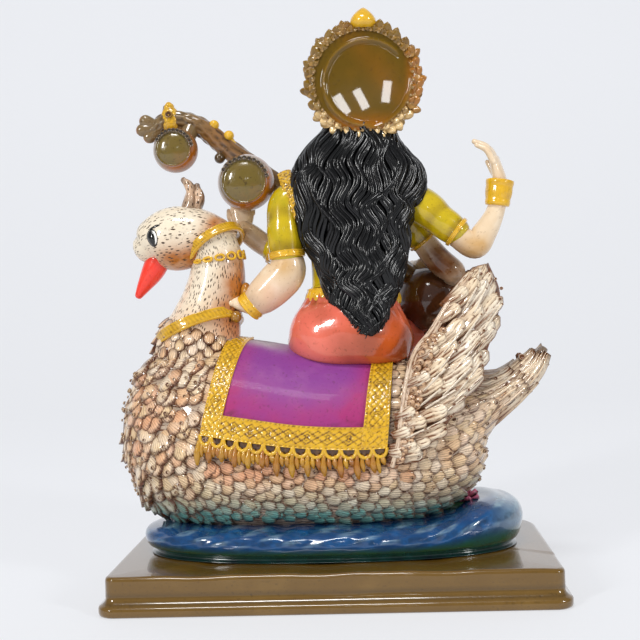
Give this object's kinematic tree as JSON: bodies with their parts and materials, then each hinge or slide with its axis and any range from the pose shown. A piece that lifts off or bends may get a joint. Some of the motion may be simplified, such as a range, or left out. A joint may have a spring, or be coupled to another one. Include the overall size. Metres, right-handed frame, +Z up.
{
  "type": "saraswati figure",
  "caption": "Cast and painted resin figure of a goddess who rides a swan and plays a long-necked lute, on a moulded lacquered plinth. Stands on a shelf or altar.",
  "frame": {"origin": "centre of the plinth's underside, on the surface it stands on", "axes": "+Z up, +X the way the swan swims, -Y the way the goddess faces"},
  "size_m": [0.1512, 0.0888, 0.1986],
  "materials": {
    "plinth": "glossy olive-brown lacquer",
    "figure": "painted and antiqued resin under clear gloss lacquer"
  },
  "bodies": {
    "root": {"plinth": "plinth", "figure": "figure"}
  },
  "joints": []
}
